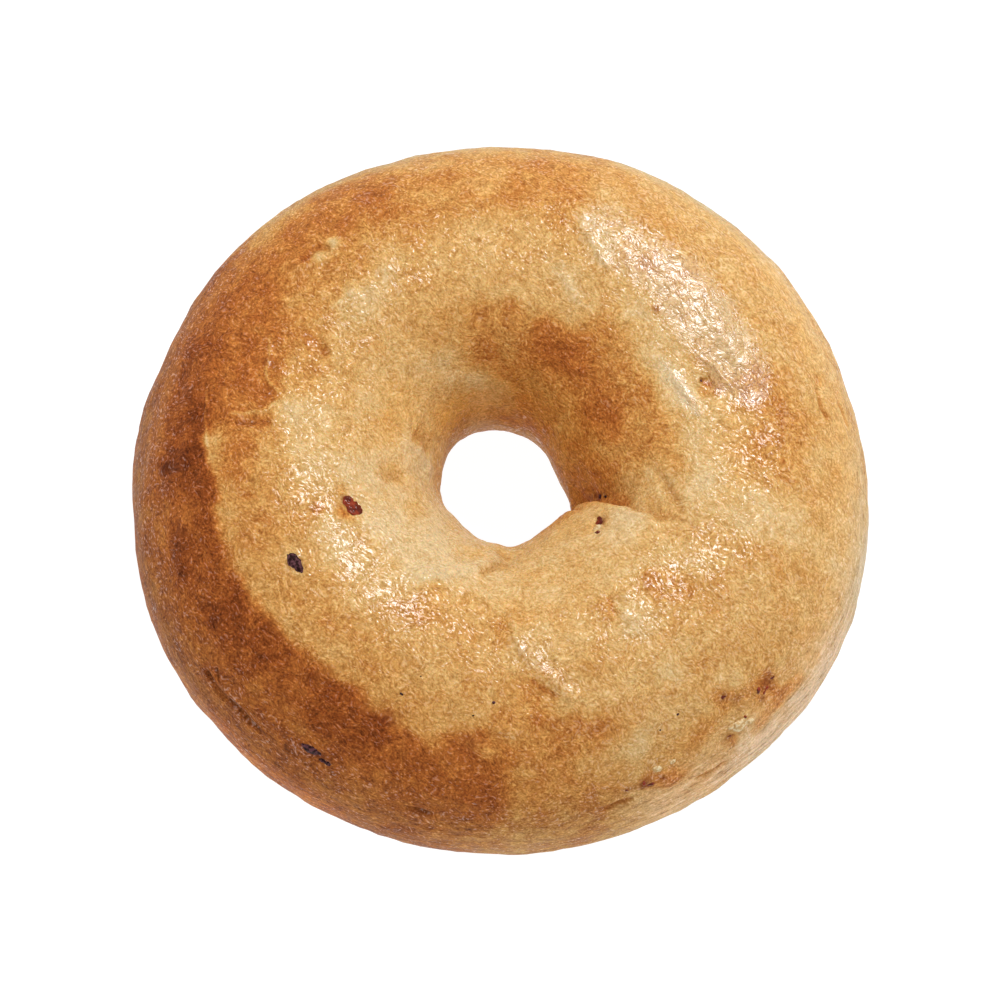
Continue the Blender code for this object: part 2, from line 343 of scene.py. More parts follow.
# How brown the crust is, from 0 for pale cream to 1 for dark brown, and above 1 where it is all but burnt.
# Each stroke brings the crust to its level: level, half width and soft edge in mm, strength, line.
PLAIN_LEVEL = 0.32
BAKING = (
    # the outer wall, and the underside that lay on the tray
    (0.26, 12.0, 12.0, 1.0, ((356, 8), (30, 8), (62, 8))),
    (0.38, 12.0, 12.0, 1.0, ((84, 15), (100, 15), (112, 15))),
    (0.42, 12.0, 8.0, 1.0, ((120, 12), (134, 12))), (0.60, 6.0, 7.0, 1.0, ((142, 14), (146, 14))),
    (0.82, 13.0, 7.0, 1.0, ((152, 8), (180, 8), (210, 8), (240, 8), (264, 8))),
    (0.56, 11.0, 9.0, 1.0, ((273, 10), (280, 10))),
    (0.18, 4.5, 12.0, 1.0, ((295, 6), (312, 6))),
    (0.00, 6.0, 14.0, 1.0, ((316, 4), (334, 6), (348, 6))),
    (0.62, 16.0, 6.0, 1.0, all_round(-75)),
    (0.62, 18.0, 6.0, 1.0, all_round(250)),
    # the shoulder, darkest on the left
    (0.50, 4.0, 6.0, 0.9, ((0, 66), (8, 60), (14, 66))),
    (0.52, 6.2, 7.0, 0.9, ((74, 53), (95, 58), (112, 58))), (0.36, 4.0, 6.0, 0.8, ((52, 54), (66, 54))),
    (0.70, 6.0, 7.0, 0.9, ((118, 48), (132, 50), (146, 54))),
    (0.48, 4.0, 7.0, 0.8, ((180, 78), (205, 79), (230, 76), (252, 68))),
    (0.78, 6.2, 5.0, 1.0, ((148, 48), (156, 57), (166, 66))),
    (0.70, 3.0, 3.5, 0.8, ((150, 76), (160, 79), (171, 77), (180, 72))),
    (0.98, 4.2, 3.0, 1.0, (
        (160, 45), (170, 48), (182, 50), (196, 51), (210, 53), (226, 53), (240, 51), (252, 46),
    )),
    (1.05, 1.2, 0.7, 0.9, ((170, 53), (177, 57), (184, 59), (191, 59), (197, 59))),
    (1.20, 1.6, 2.5, 0.8, ((170, 53), (180, 56))), (1.25, 1.4, 2.5, 0.8, ((180, 50), (180, 40))),
    (1.12, 1.4, 2.5, 0.8, ((192, 44), (199, 47))), (1.15, 1.3, 2.5, 0.8, ((209, 47), (210, 54))),
    (0.88, 4.5, 5.0, 0.9, ((254, 44), (265, 46), (266, 30))),
    (0.56, 4.0, 4.5, 0.9, ((274, 66), (279, 54), (280, 36))),
    (0.70, 1.6, 2.5, 0.8, ((266, 62), (270, 55))),
    # the hole
    (0.52, 10.0, 7.0, 1.0, ((350, 158), (20, 155), (60, 156), (80, 154))),
    (0.53, 4.5, 6.0, 0.9, ((352, 118), (25, 120), (60, 120), (92, 122))),
    (0.72, 3.8, 5.0, 0.9, ((34, 136), (48, 135), (66, 132))),
    (0.82, 2.0, 3.5, 0.9, ((60, 128), (70, 127))), (0.74, 1.4, 3.0, 0.8, ((14, 136), (28, 136))),
    (0.10, 4.5, 6.0, 0.9, ((110, 158), (120, 148), (126, 134))),
    (0.26, 7.0, 7.0, 0.9, ((138, 152), (158, 140), (176, 142))),
    (0.14, 9.0, 5.0, 1.0, ((200, 146), (222, 144), (236, 142))),
    (-0.02, 6.0, 6.0, 0.9, ((246, 136), (260, 142))),
    (0.06, 3.0, 4.0, 0.9, ((196, 122), (214, 122), (232, 121), (246, 122))),
    (0.18, 8.0, 6.0, 0.9, ((276, 140), (295, 136), (312, 130), (326, 128))),
    (0.28, 3.0, 5.0, 0.8, ((80, 84), (100, 86))), (0.22, 3.0, 4.0, 0.8, ((142, 116), (156, 120))),
    (0.16, 2.5, 3.0, 0.9, ((353, 119), (347, 109), (342, 102))),
    (0.10, 2.5, 4.0, 0.7, ((322, 120), (334, 124))), (0.14, 2.0, 3.0, 0.8, ((290, 118), (300, 120))),
    # Browner down the valley of the join: partly painted shade in the valley
    (0.62, 1.0, 2.0, 0.6, ((345, 150), (343, 135))),
    # the top
    (0.24, 3.5, 4.0, 0.9, ((92, 104), (78, 106), (64, 106))), (0.16, 0.8, 1.5, 0.9, ((73, 98), (64, 106))),
    (0.16, 3.2, 4.0, 0.9, ((36, 103), (22, 101), (8, 97), (354, 94))),
    # The paler strokes on this line and the next two are pale partly as a painted highlight, where the
    # glaze shines most
    (0.02, 1.3, 2.5, 0.9, ((30, 104), (18, 101))),
    (0.26, 4.5, 4.0, 0.8, ((66, 74), (58, 84), (52, 92))), (0.14, 1.4, 2.0, 0.8, ((68, 74), (63, 84))),
    (0.17, 4.0, 4.0, 0.8, ((50, 90), (38, 82), (28, 74))),
    (0.12, 4.0, 5.0, 0.8, ((170, 100), (182, 108), (188, 118))),
    (0.08, 1.6, 3.0, 0.8, ((185, 116), (189, 118))),
    (0.30, 2.5, 4.0, 0.8, ((120, 92), (134, 96))), (0.14, 1.5, 2.5, 0.7, ((126, 95), (132, 97))),
    (0.16, 3.0, 4.0, 0.8, ((202, 106), (212, 102), (228, 106))),
    (0.24, 6.0, 6.0, 0.7, ((290, 104), (310, 100), (328, 98))),
    (0.18, 1.8, 3.0, 0.8, ((309, 96), (307, 88))),
    (0.16, 3.4, 4.0, 1.0, ((349, 96), (348, 84), (346, 70), (346, 58))),
    (0.16, 2.0, 4.0, 0.9, ((345, 56), (344, 36))), (0.14, 1.6, 3.0, 0.8, ((305, 66), (307, 62))),
    (0.18, 1.5, 3.0, 0.8, ((296, 50), (294, 42))), (0.18, 1.5, 3.0, 0.7, ((313, 48), (317, 40))),
    (0.10, 1.0, 2.0, 0.8, ((127, 64), (131, 66))),
    (0.46, 0.8, 1.8, 0.8, ((146, 90), (148, 96), (150, 101))),
    (0.54, 3.5, 4.0, 0.8, ((128, 76), (138, 77), (146, 80))), (0.48, 2.5, 4.0, 0.8, ((148, 90), (158, 94))),
    (0.40, 3.2, 4.0, 0.8, ((106, 121), (120, 121))), (0.52, 3.0, 4.0, 0.8, ((282, 57), (290, 57))),
    (0.48, 1.2, 2.0, 0.8, ((17, 88),)),
    (0.50, 1.5, 2.0, 0.7, ((78, 77),)), (0.46, 1.2, 2.0, 0.7, ((52, 77),)),
    (0.50, 1.8, 2.5, 0.8, ((322, 88), (318, 96))),
    (0.42, 1.2, 2.0, 0.8, ((303, 103), (302, 98))), (0.42, 0.8, 1.5, 0.8, ((270, 107), (271, 98))),
    (0.52, 2.0, 2.5, 0.7, ((246, 106), (246, 112))), (0.58, 1.5, 2.0, 0.8, ((199, 102),)),
    (0.44, 1.6, 2.5, 0.8, ((274, 79), (276, 75))), (0.85, 1.3, 2.0, 0.8, ((252, 57),)),
    (0.58, 2.2, 2.5, 0.8, ((318, 35), (312, 42))), (0.52, 1.2, 2.0, 0.8, ((324, 24), (315, 20))),
    (0.50, 1.5, 2.5, 0.8, ((308, 38), (302, 34))), (0.60, 1.2, 2.0, 0.8, ((310, 24),)),
    (0.58, 1.4, 2.0, 0.8, ((294, 27), (299, 24))),
)

# How wet the glaze looks, in the same way
PLAIN_GLAZE = 0.14
GLAZE = (
    (0.00, 10.0, 6.0, 1.0, all_round(-5)),
    (0.00, 14.0, 6.0, 1.0, all_round(-75)),
    (0.00, 9.0, 5.0, 1.0, ((140, 168), (90, 155), (50, 150), (10, 150), (352, 150))),
    (0.05, 6.0, 5.0, 1.0, ((110, 118), (66, 127), (32, 133), (2, 128))),
    (0.06, 6.0, 5.0, 1.0, ((135, 50), (165, 55), (200, 50), (240, 50), (275, 45))),
    (0.24, 7.0, 5.0, 1.0, ((292, 62), (315, 66), (335, 64), (0, 66), (30, 62), (62, 62))),
    (0.00, 5.0, 5.0, 1.0, ((0, 24), (60, 24), (130, 26))),
    (0.62, 3.6, 4.0, 1.0, ((66, 74), (58, 80), (52, 76))),
    (0.92, 4.6, 4.0, 1.0, ((46, 76), (35, 78), (20, 75))),
    (0.38, 3.6, 4.0, 1.0, ((192, 104), (204, 106), (218, 106), (240, 103))),
    (0.80, 0.7, 1.2, 1.0, ((28, 103), (20, 101), (12, 98))),
    (0.32, 3.6, 4.0, 1.0, ((346, 70), (338, 86), (322, 93), (306, 95))),
    (0.16, 2.0, 2.5, 1.0, ((178, 98), (174, 106), (186, 113))),
    (0.50, 1.6, 3.0, 1.0, ((277, 94), (284, 78))),
    (0.12, 2.5, 3.0, 1.0, ((349, 100), (347, 88), (347, 64))),
    (0.24, 3.5, 4.0, 1.0, ((118, 92), (138, 100))),
    (0.00, 1.2, 0.8, 1.0, ((196, 112), (204, 116))), (0.00, 1.6, 0.8, 1.0, ((202, 111),)),
    (0.00, 1.2, 0.8, 1.0, ((328, 134),)),
)

# The edge of a stroke is ragged, in wide bends and in narrow ones. Each has its reach and width in mm.
WIDE_BENDS = (1.3, 6.0)
NARROW_BENDS = (0.7, 2.2)
points, clock, turn, _ = spots = places(crust)
ragged = sum(
    swing * np.array([noise.noise(Vector(point) / width) for point in points])
    for swing, width in (WIDE_BENDS, NARROW_BENDS)
)


def painted(plain, strokes):
    """The level at each point of the crust, once every stroke is laid over the plain one in its turn."""
    level = np.full(len(clock), plain)
    for target, half, soft, strength, line in strokes:
        off = from_line(spots, line)[0]
        level += (target - level) * strength * eased((half - off + ragged) / soft + 0.5)
    return level


def record_on(piece, name, values):
    """Keeps one value for each point on the mesh, where the material reads it by its name."""
    layer = piece.data.attributes.new(name, "FLOAT", "POINT")
    layer.data.foreach_set("value", np.asarray(values, np.float32))


# The wall of the hole is painted a glowing orange: painted light, for light that goes through the thin
# dough there and warms the shaded hole
PAINTED_GLOW = (
    (0.20, 7.0, 8.0, 1.0, ((352, 164), (20, 164), (62, 162))),
    (0.80, 3.0, 5.0, 1.0, ((108, 164), (124, 164))),
    (0.25, 4.0, 5.0, 1.0, ((150, 138), (176, 142))),
)

# Low on the side the skin is matt, and painted pale and pinkish: partly because it wasn't glazed and hardly
# browned there, and partly as a painted sheen
RAW_AND_SHEEN = (
    (1.0, 6.0, 12.0, 1.0, ((299, 6), (310, 8), (322, 8), (336, 8))),
    (0.3, 8.0, 14.0, 1.0, ((346, 6), (10, 6), (40, 6))),
    (0.8, 5.0, 6.0, 1.0, ((160, -2), (190, -2), (212, -4), (240, -8))),
)

# The side is painted darker and greyish at the back and on the far left: painted shade and a painted grey
# sheen
SHADE_AND_SHEEN = (
    (1.0, 8.0, 12.0, 1.0, ((50, 8), (90, 10), (120, 8))),
    (1.0, 5.0, 7.0, 1.0, ((168, 6), (194, 4), (214, 4))),
)

# Juice of the fruit bits has stained the skin over and beside them: strength, reach in mm, place
STAINS = (
    (0.55, 0.8, (198, 113)), (0.50, 1.2, (248, 60)), (0.30, 1.7, (264, 58)),
    (0.75, 0.9, (329, 134)), (0.70, 0.6, (319, 33)), (0.60, 0.5, (321, 35)), (0.60, 0.5, (318, 30)),
    (0.60, 1.1, (320, 33)),
    (0.70, 0.6, (295, 24)), (0.60, 0.5, (297, 26)), (0.65, 1.0, (294, 26)), (0.50, 0.5, (313, 39)),
    (0.60, 0.4, (312, 43)), (0.50, 0.8, (314, 39)),
    (0.60, 0.7, (310, 25)), (0.45, 0.6, (291, 27)), (0.40, 1.0, (239, 30)), (0.35, 1.2, (210, 84)),
    (0.90, 0.5, (349, 156)), (0.65, 0.4, (351, 160)), (0.65, 0.4, (349, 151)), (0.60, 0.4, (345, 155)),
    (0.30, 0.7, (44, 91)), (0.40, 0.5, (35, 63)), (0.35, 0.6, (359, 64)), (0.30, 0.8, (252, 57)),
)

# A fold deeper than this, in mm, is painted darker along its bottom: painted shade in the fold
SHADOWED = 0.28
level = painted(PLAIN_LEVEL, BAKING)
crease_shade_here = np.zeros(len(clock))
for depth, half_left, half_right, tone, line in CREASES:
    mark = across(spots, half_left, half_right, line)
    level += tone * mark
    if depth > SHADOWED:
        crease_shade_here = np.maximum(crease_shade_here, mark**2)
for lift, reach, tone, place in BLISTERS:
    level += tone * np.exp(-((from_line(spots, (place,))[0] / reach) ** 2))
record_on(crust, "browning", level)
record_on(crust, "glaze", painted(PLAIN_GLAZE, GLAZE))
record_on(crust, "painted_glow", painted(0.0, PAINTED_GLOW))
record_on(crust, "raw_and_sheen", painted(0.0, RAW_AND_SHEEN))
record_on(crust, "shade_and_sheen", painted(0.0, SHADE_AND_SHEEN))
record_on(crust, "crease_shade", crease_shade_here)
stained = np.zeros(len(clock))
for strength, reach, place in STAINS:
    stained = np.maximum(stained, strength * np.exp(-((from_line(spots, (place,))[0] / reach) ** 4)))
record_on(crust, "juice", stained)

# The side lies between these turns, and fades into the top and the base over so many degrees
SIDE_TOP, TOP_FADE = 36, 22
SIDE_FOOT, FOOT_FADE = -62, 25
record_on(crust, "side", eased((SIDE_TOP - turn) / TOP_FADE) * eased((turn - SIDE_FOOT) / FOOT_FADE))


def feed(tree, socket, value):
    """Links a socket to another, or sets it to a value."""
    if isinstance(value, bpy.types.NodeSocket):
        tree.links.new(value, socket)
    else:
        socket.default_value = value


def maths(tree, operation, first, second=0.5):
    """One sum or comparison of two values."""
    step = tree.nodes.new("ShaderNodeMath")
    step.operation = operation
    feed(tree, step.inputs[0], first)
    feed(tree, step.inputs[1], second)
    return step.outputs[0]


def ranged(tree, value, low, high, to_low=0.0, to_high=1.0):
    """Carries a value over from one range to another, with slow ends, and holds it within that range."""
    step = tree.nodes.new("ShaderNodeMapRange")
    step.interpolation_type = "SMOOTHSTEP"
    feed(tree, step.inputs["Value"], value)
    for name, number in (("From Min", low), ("From Max", high), ("To Min", to_low), ("To Max", to_high)):
        feed(tree, step.inputs[name], number)
    return step.outputs["Result"]


def cloud(tree, vector, scale, detail, rough=0.5, dimensions="3D", depth=None):
    """A soft noise, as one value and as a colour of three."""
    step = tree.nodes.new("ShaderNodeTexNoise")
    step.noise_dimensions = dimensions
    feed(tree, step.inputs["Vector"], vector)
    if depth is not None:
        feed(tree, step.inputs["W"], depth)
    feed(tree, step.inputs["Scale"], scale)
    step.inputs["Detail"].default_value = detail
    step.inputs["Roughness"].default_value = rough
    return step.outputs["Fac"], step.outputs["Color"]


def veins(tree, vector, scale, width):
    """Thin lines that wander and meet as fine wrinkles do: 1 in a line and 0 between."""
    off = maths(tree, "ABSOLUTE", maths(tree, "SUBTRACT", cloud(tree, vector, scale, detail=1)[0], 0.5))
    return ranged(tree, off, 0.0, width, 1.0, 0.0)


def blend(tree, share, first, second, kind="MIX"):
    """One colour laid over another by a share, or multiplied with it."""
    step = tree.nodes.new("ShaderNodeMix")
    step.data_type = "RGBA"
    step.blend_type = kind
    feed(tree, step.inputs["Factor"], share)
    feed(tree, step.inputs["A"], first)
    feed(tree, step.inputs["B"], second)
    return step.outputs["Result"]


def stretched(tree, vector, lengths, turn):
    """Coordinates in which a pattern is drawn out by the lengths, along axes that are turned about +Z."""
    step = tree.nodes.new("ShaderNodeMapping")
    step.vector_type = "TEXTURE"
    feed(tree, step.inputs["Vector"], vector)
    step.inputs["Rotation"].default_value = (0, 0, math.radians(turn))
    step.inputs["Scale"].default_value = lengths
    return step.outputs["Vector"]


def attribute(tree, name):
    """A value that was kept on the mesh under this name."""
    step = tree.nodes.new("ShaderNodeAttribute")
    step.attribute_name = name
    return step.outputs["Fac"]


def swung(tree, *amounts):
    """The sum of several noises, each less its middle value and times its own amount."""
    total = 0.0
    for pattern, amount in amounts:
        swing = maths(tree, "MULTIPLY", maths(tree, "SUBTRACT", pattern, 0.5), amount)
        total = maths(tree, "ADD", total, swing)
    return total


# The patterns of the skin from broad to fine, in repeats for a metre. 1000 of them lie a millimetre apart.
PATCH_REPEATS = 170
WANDER_REPEATS = 300
BLOT_REPEATS = 360
LUMP_REPEATS = 560
WIDE_VEIN_REPEATS = 800
MOTTLE_REPEATS = 850
STREAK_REPEATS = 1300
FINE_VEIN_REPEATS = 1500
WRINKLE_REPEATS = 2000
DASH_REPEATS = 2700
GRAIN_REPEATS = 3000
SPECKLE_REPEATS = 3400

# Most patterns wander by up to this reach, so that they don't look ruled. The wrinkles on top run from the
# far left to the near right, and are drawn out by this stretch. Those on the side run round the ring, and
# one streak goes on for this angle in radians.
WANDER_REACH = 3 * MM
WRINKLE_HEADING = -45
WRINKLE_STRETCH = 1.6
STREAK_ANGLE = 0.06

baked = bpy.data.materials.new("baked_crust")
baked.use_nodes = True
tree = baked.node_tree
skin = tree.nodes["Principled BSDF"]
where = tree.nodes.new("ShaderNodeTexCoord").outputs["Object"]

wander = tree.nodes.new("ShaderNodeVectorMath")
wander.operation = "MULTIPLY_ADD"
tree.links.new(cloud(tree, where, WANDER_REPEATS, detail=2)[1], wander.inputs[0])
wander.inputs[1].default_value = (WANDER_REACH, WANDER_REACH, WANDER_REACH)
tree.links.new(where, wander.inputs[2])
wandering = wander.outputs[0]
combed = stretched(tree, wandering, (WRINKLE_STRETCH, 1.0, 1.0), WRINKLE_HEADING)
wide_veins = veins(tree, combed, WIDE_VEIN_REPEATS, width=0.07)
fine_veins = veins(tree, combed, FINE_VEIN_REPEATS, width=0.09)
wrinkle = cloud(tree, combed, WRINKLE_REPEATS, detail=2, rough=0.6)[0]
lumps = cloud(tree, wandering, LUMP_REPEATS, detail=1)[0]
grain = cloud(tree, where, GRAIN_REPEATS, detail=1)[0]
patches = cloud(tree, wandering, PATCH_REPEATS, detail=2)[0]
blots = cloud(tree, wandering, BLOT_REPEATS, detail=2)[0]
mottling = cloud(tree, wandering, MOTTLE_REPEATS, detail=1)[0]
dashes = cloud(tree, combed, DASH_REPEATS, detail=1)[0]
speckle = cloud(tree, where, SPECKLE_REPEATS, detail=1)[0]

split = tree.nodes.new("ShaderNodeSeparateXYZ")
tree.links.new(where, split.inputs[0])
x, y, z = split.outputs
squares = maths(tree, "ADD", maths(tree, "MULTIPLY", x, x), maths(tree, "MULTIPLY", y, y))
axis_distance = maths(tree, "SQRT", squares)
streak_length = maths(tree, "MULTIPLY", axis_distance, STREAK_ANGLE)
around = tree.nodes.new("ShaderNodeCombineXYZ")
feed(tree, around.inputs[0], maths(tree, "DIVIDE", x, streak_length))
feed(tree, around.inputs[1], maths(tree, "DIVIDE", y, streak_length))
feed(tree, around.inputs[2], maths(tree, "MULTIPLY", z, STREAK_REPEATS))
streak_depth = maths(tree, "MULTIPLY", axis_distance, STREAK_REPEATS)
streaks = cloud(tree, around.outputs[0], 1.0, detail=3, rough=0.65, dimensions="4D", depth=streak_depth)[0]

side = attribute(tree, "side")
glaze = attribute(tree, "glaze")
browning = attribute(tree, "browning")
crease_shade = attribute(tree, "crease_shade")
shade_and_sheen = attribute(tree, "shade_and_sheen")
raw_and_sheen = attribute(tree, "raw_and_sheen")

# Broad marks differ in how brown they are. Fine ones are bright and pale, or dark and brown. Both are
# stronger where the crust is browner.
PATCHES = 0.34
BLOTS = 0.34
MOTTLING = 0.34
DASHES = 0.66
SPECKLE = 0.52
FRECKLED_PALE = 0.78
FRECKLED_BROWN = 1.42
freckled = ranged(tree, browning, low=0.0, high=0.9, to_low=FRECKLED_PALE, to_high=FRECKLED_BROWN)
broad = maths(tree, "MULTIPLY", swung(tree, (patches, PATCHES), (blots, BLOTS)), freckled)
fine = swung(tree, (mottling, MOTTLING), (dashes, DASHES), (speckle, SPECKLE))
fine = maths(tree, "MULTIPLY", fine, freckled)

# The side is streaked, more so by one share where it is raw and painted with sheen, and less so by the
# other where it is painted with shade and sheen
STREAKING = 0.95
LESS_WHERE_SHADED = 0.6
RAW_MORE = 0.4
kept = maths(tree, "SUBTRACT", 1.0, maths(tree, "MULTIPLY", shade_and_sheen, LESS_WHERE_SHADED))
plain_side = maths(tree, "MULTIPLY", side, kept)
torn = maths(tree, "ADD", 1.0, maths(tree, "MULTIPLY", raw_and_sheen, RAW_MORE))
torn_side = maths(tree, "MULTIPLY", plain_side, torn)
fine = maths(tree, "ADD", fine, maths(tree, "MULTIPLY", torn_side, swung(tree, (streaks, STREAKING))))

# The seams of the dried glaze are darker lines on top. Their mean is taken off, so that they darken the
# lines and brighten what lies between.
WIDE_SEAMS = 0.7
SEAM_MEAN = 0.48
SEAMS = 0.12
on_top = maths(tree, "SUBTRACT", 1.0, side)
seams = maths(tree, "MAXIMUM", maths(tree, "MULTIPLY", wide_veins, WIDE_SEAMS), fine_veins)
lines = maths(tree, "SUBTRACT", seams, SEAM_MEAN)
fine = maths(tree, "SUBTRACT", fine, maths(tree, "MULTIPLY", lines, maths(tree, "MULTIPLY", on_top, SEAMS)))

# How brown the skin is in the end: a dark fine mark or a seam in the glaze is browner too
LESS_BROWN = 0.02
FINE_BROWN = 0.45
SEAM_BROWN = 0.10
brown = maths(tree, "ADD", maths(tree, "SUBTRACT", browning, LESS_BROWN), broad)
brown = maths(tree, "SUBTRACT", brown, maths(tree, "MULTIPLY", fine, FINE_BROWN))
browner = maths(tree, "MULTIPLY", glaze, SEAM_BROWN)
brown = maths(tree, "ADD", brown, maths(tree, "MULTIPLY", lines, browner))

# How bright it is: the fine marks make it brighter or darker, and wet glaze makes it darker
PLAIN_SHADE = 0.925
WET_DARKER = 0.08
shade = maths(tree, "ADD", PLAIN_SHADE, fine)
shade = maths(tree, "SUBTRACT", shade, maths(tree, "MULTIPLY", glaze, WET_DARKER))

# The colour at each level of browning, and the colours and tints of what else shows in the skin, among them
# painted glow, shade and sheen
DARKEST = 1.3
BROWNS = (
    (0.00, (0.73, 0.522, 0.268)), (0.20, (0.700, 0.418, 0.150)), (0.40, (0.63, 0.303, 0.080)),
    (0.60, (0.525, 0.190, 0.040)), (0.80, (0.425, 0.125, 0.025)), (1.00, (0.30, 0.074, 0.015)),
    (DARKEST, (0.14, 0.028, 0.006)),
)
PAINTED_GLOW_ORANGE = (0.96, 0.44, 0.055, 1)
SIDE_SHADE_SHEEN_TINT = (0.90, 0.98, 1.13, 1)
RAW_SHEEN_TINT = (1.28, 1.13, 1.16, 1)
SHADE_AND_SHEEN_TINT = (0.89, 0.99, 1.22, 1)
SLIT_SHADE_BROWN = (0.30, 0.11, 0.035, 1)
FOLD_SHADE_BROWN = (0.33, 0.13, 0.035, 1)
JUICE_RED = (0.17, 0.030, 0.014, 1)
PAINTED_GLOW_SHARE = 0.45
SLIT_SHADE = 0.3
FOLD_SHADE = 0.30
bake = tree.nodes.new("ShaderNodeValToRGB")
tree.links.new(maths(tree, "DIVIDE", brown, DARKEST), bake.inputs["Fac"])
while len(bake.color_ramp.elements) < len(BROWNS):
    bake.color_ramp.elements.new(0.5)
for stop, (level, shown) in zip(bake.color_ramp.elements, BROWNS):
    stop.position = level / DARKEST
    stop.color = (*shown, 1)
colour = bake.outputs["Color"]
# Painted light: the wall of the hole is mixed towards a glowing orange
colour = blend(tree, maths(tree, "MULTIPLY", attribute(tree, "painted_glow"), PAINTED_GLOW_SHARE), colour, PAINTED_GLOW_ORANGE)
# Painted shade and a painted sheen: the side's colour is multiplied by a tint with less red and more blue
colour = blend(tree, side, colour, SIDE_SHADE_SHEEN_TINT, "MULTIPLY")
# Partly a painted sheen: these places are tinted paler and pinker
colour = blend(tree, raw_and_sheen, colour, RAW_SHEEN_TINT, "MULTIPLY")
# Painted shade and a painted grey sheen: these places are tinted less red and more blue
colour = blend(tree, shade_and_sheen, colour, SHADE_AND_SHEEN_TINT, "MULTIPLY")
# Painted shade: the bottoms of the side's streaked grooves are mixed towards dark brown
slits = ranged(tree, streaks, low=0.33, high=0.40, to_low=1.0, to_high=0.0)
slits = maths(tree, "MULTIPLY", torn_side, slits)
colour = blend(tree, maths(tree, "MULTIPLY", slits, SLIT_SHADE), colour, SLIT_SHADE_BROWN)
# Painted shade: the bottoms of deep folds are mixed towards dark brown
colour = blend(tree, maths(tree, "MULTIPLY", crease_shade, FOLD_SHADE), colour, FOLD_SHADE_BROWN)
soaked = ranged(tree, blots, low=0.35, high=0.6, to_low=0.5, to_high=1.0)
juice = maths(tree, "MULTIPLY", attribute(tree, "juice"), soaked)
colour = blend(tree, juice, colour, JUICE_RED)
shaded = tree.nodes.new("ShaderNodeVectorMath")
shaded.operation = "SCALE"
feed(tree, shaded.inputs[0], colour)
feed(tree, shaded.inputs["Scale"], shade)
tree.links.new(shaded.outputs[0], skin.inputs["Base Color"])

# Crumb below the skin lets a little light through. The skin itself has hardly any shine.
matt = ranged(tree, mottling, low=0.3, high=0.7, to_low=0.45, to_high=0.62)
tree.links.new(matt, skin.inputs["Roughness"])
skin.inputs["Subsurface Weight"].default_value = 0.25
skin.inputs["Subsurface Radius"].default_value = (1.0, 0.35, 0.12)
skin.inputs["Subsurface Scale"].default_value = 1.2 * MM
skin.inputs["IOR"].default_value = 1.5
skin.inputs["Specular IOR Level"].default_value = 0.06
skin.inputs["Specular Tint"].default_value = (1.0, 0.72, 0.45, 1)

# The glaze lies on top where the crust was brushed. The wrinkles break it into dashes, which lie closer
# together where it is thick and in some blots.
DRY_ABOVE = 0.70
WETTER = 0.45
BLOTTED = 0.35
DASH_EDGE = 0.07
bare = maths(tree, "SUBTRACT", DRY_ABOVE, maths(tree, "MULTIPLY", glaze, WETTER))
bare = maths(tree, "SUBTRACT", bare, swung(tree, (blots, BLOTTED)))
wet = ranged(tree, maths(tree, "SUBTRACT", dashes, bare), -DASH_EDGE, DASH_EDGE)
tree.links.new(wet, skin.inputs["Coat Weight"])
skin.inputs["Coat Roughness"].default_value = 0.30
skin.inputs["Coat IOR"].default_value = 1.8

# The relief: wrinkles and lumps on top, streaks on the side. The glaze fills the fine wrinkles, and shrank
# into wandering seams as it dried.
RELIEF_HEIGHT = 0.20 * MM
WRINKLE_RELIEF = 0.75
GRAIN_RELIEF = 0.36
STREAK_RELIEF = 1.7
WIDE_SEAM_RELIEF = 0.24
FINE_SEAM_RELIEF = 0.10
FILLED = 0.80
unfilled = maths(tree, "SUBTRACT", 1.0, maths(tree, "MULTIPLY", glaze, FILLED))
top_relief = maths(tree, "MULTIPLY", maths(tree, "MULTIPLY", wrinkle, WRINKLE_RELIEF), unfilled)
top_relief = maths(tree, "ADD", top_relief, lumps)
wide_seams = maths(tree, "MULTIPLY", wide_veins, WIDE_SEAM_RELIEF)
fine_seams = maths(tree, "MULTIPLY", fine_veins, FINE_SEAM_RELIEF)
dried = maths(tree, "MULTIPLY", maths(tree, "ADD", wide_seams, fine_seams), glaze)
top_relief = maths(tree, "SUBTRACT", top_relief, dried)
relief = tree.nodes.new("ShaderNodeMix")
feed(tree, relief.inputs[0], side)
feed(tree, relief.inputs[2], top_relief)
feed(tree, relief.inputs[3], maths(tree, "MULTIPLY", streaks, STREAK_RELIEF))
grainy = maths(tree, "MULTIPLY", maths(tree, "MULTIPLY", grain, GRAIN_RELIEF), unfilled)
bump = tree.nodes.new("ShaderNodeBump")
bump.inputs["Strength"].default_value = 1.0
bump.inputs["Distance"].default_value = RELIEF_HEIGHT
tree.links.new(maths(tree, "ADD", relief.outputs[0], grainy), bump.inputs["Height"])
tree.links.new(bump.outputs["Normal"], skin.inputs["Normal"])
tree.links.new(bump.outputs["Normal"], skin.inputs["Coat Normal"])
crust.data.materials.clear()
crust.data.materials.append(baked)
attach(crust, "root")
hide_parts("bagel")

